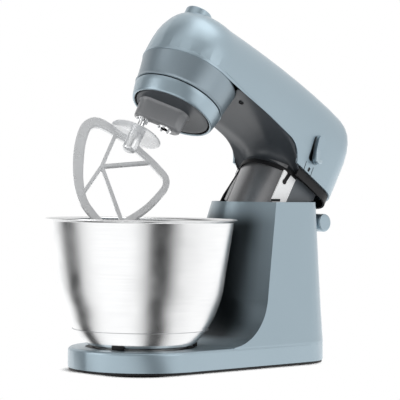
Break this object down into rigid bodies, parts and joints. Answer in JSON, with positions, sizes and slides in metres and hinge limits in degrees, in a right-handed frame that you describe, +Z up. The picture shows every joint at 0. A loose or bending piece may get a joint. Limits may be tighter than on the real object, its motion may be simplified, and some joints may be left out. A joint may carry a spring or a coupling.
{
  "type": "stand mixer",
  "caption": "Tilting-head kitchen stand mixer with planetary drive, K-shaped beater, turn-lock steel bowl, side speed lever and rear head release.",
  "frame": {"origin": "on the bench, under the middle of the box of the mixer with its head raised", "axes": "+Z up, the bowl towards -Y, the column towards +Y, the speed lever on the +X side"},
  "size_m": [0.2292, 0.4451, 0.4405],
  "materials": {
    "blue_paint": "satin",
    "hub_paint": "satin",
    "black_plastic": "fine grain",
    "dark_plastic": "fine grain",
    "grey_plastic": "fine grain",
    "white_plastic": "smooth",
    "rubber": "matt",
    "brushed_bowl": "brushed round the axis",
    "steel": "turned",
    "chrome": "polished",
    "cast_alloy": "satin cast",
    "gear_brass": "cut",
    "winding": "lacquered wire",
    "green_board": "lacquer"
  },
  "bodies": {
    "base": {"base_housing": "blue_paint", "base_plate": "black_plastic", "rubber_feet": "rubber", "base_screws": "steel", "bowl_seat": "black_plastic", "hinge_bracket": "steel", "hinge_pin": "steel", "lift_spring": "steel", "cord_bush": "rubber", "latch_pin": "steel", "latch_brackets": "steel", "release_spring": "steel"},
    "head": {"top_shell": "blue_paint", "top_strip": "hub_paint", "lower_shell": "dark_plastic", "shell_screws": "steel", "neck_front_shell": "grey_plastic", "neck_rear_shell": "dark_plastic", "neck_shield": "black_plastic", "guide_plates": "white_plastic", "guide_pin": "black_plastic", "hinge_arms": "steel", "latch_catch": "steel", "hub_housing": "hub_paint", "hub_ring": "blue_paint", "button_bracket": "steel", "button_spring": "steel", "lever_bezel": "black_plastic", "speed_switch": "white_plastic", "control_board": "green_board", "gearbox_frame": "cast_alloy", "motor_frames": "cast_alloy", "motor_stator": "steel", "motor_bearings": "steel", "drive_belt": "rubber", "carrier_bearings": "steel", "ring_gear": "cast_alloy"},
    "release_lever": {"release_bar": "blue_paint", "head_latch": "steel"},
    "tool_button": {"release_button": "blue_paint", "button_rod": "steel"},
    "speed_lever": {"speed_lever": "blue_paint"},
    "rotor": {"motor_rotor": "winding", "motor_pulley": "steel"},
    "carrier": {"planet_carrier": "cast_alloy", "carrier_cover": "grey_plastic", "large_pulley": "black_plastic"},
    "outer_spindle": {"planet_gear": "gear_brass", "outer_socket": "chrome", "outer_balls": "chrome"},
    "centre_spindle": {"sun_gear": "gear_brass", "centre_socket": "chrome", "socket_balls": "chrome"},
    "beater": {"beater_frame": "cast_alloy", "beater_shank": "chrome", "splash_disc": "cast_alloy"},
    "bowl": {"bowl": "brushed_bowl"}
  },
  "joints": [
    {"name": "head_tilt", "type": "hinge", "parent": "base", "child": "head", "pos_m": [0, 0.0968, 0.1742], "axis": [-1, 0, 0], "range_deg": [-31.6, 0]},
    {"name": "carrier_spin", "type": "hinge", "parent": "head", "child": "carrier", "pos_m": [0, -0.06146, 0.30819], "axis": [0, 0.524, 0.8517], "continuous": true},
    {"name": "outer_spin", "type": "hinge", "parent": "carrier", "child": "outer_spindle", "pos_m": [-0.0198, -0.07832, 0.31856], "axis": [0, 0.524, 0.8517], "continuous": true},
    {"name": "centre_spin", "type": "hinge", "parent": "carrier", "child": "centre_spindle", "pos_m": [0, -0.06146, 0.30819], "axis": [0, 0.524, 0.8517], "continuous": true},
    {"name": "motor_spin", "type": "hinge", "parent": "head", "child": "rotor", "pos_m": [0, 0.09696, 0.21073], "axis": [0, 0.524, 0.8517], "continuous": true},
    {"name": "beater_pull", "type": "slide", "parent": "outer_spindle", "child": "beater", "axis": [0, -0.524, -0.8517], "range_m": [0, 0.0264]},
    {"name": "button_press", "type": "slide", "parent": "head", "child": "tool_button", "axis": [0, -0.524, -0.8517], "range_m": [0, 0.004], "stiffness_N_per_m": 600, "springref_m": -0.002},
    {"name": "lever_turn", "type": "hinge", "parent": "head", "child": "speed_lever", "pos_m": [0.0563, 0.1428, 0.27951], "axis": [-1, 0, 0], "range_deg": [0, 50]},
    {"name": "release_turn", "type": "hinge", "parent": "base", "child": "release_lever", "pos_m": [0, 0.1493, 0.175], "axis": [-1, 0, 0], "range_deg": [0, 10], "stiffness_Nm_per_rad": 0.6, "springref_deg": -11.46},
    {"name": "bowl_turn", "type": "hinge", "parent": "base", "child": "bowl", "pos_m": [0, -0.1082, 0.028], "axis": [0, 0, 1], "range_deg": [-25, 0]}
  ],
  "couplings": [
    {"joint": "outer_spin", "follows": "carrier_spin", "ratio": -3},
    {"joint": "centre_spin", "follows": "carrier_spin", "ratio": 3},
    {"joint": "motor_spin", "follows": "carrier_spin", "ratio": 5}
  ]
}
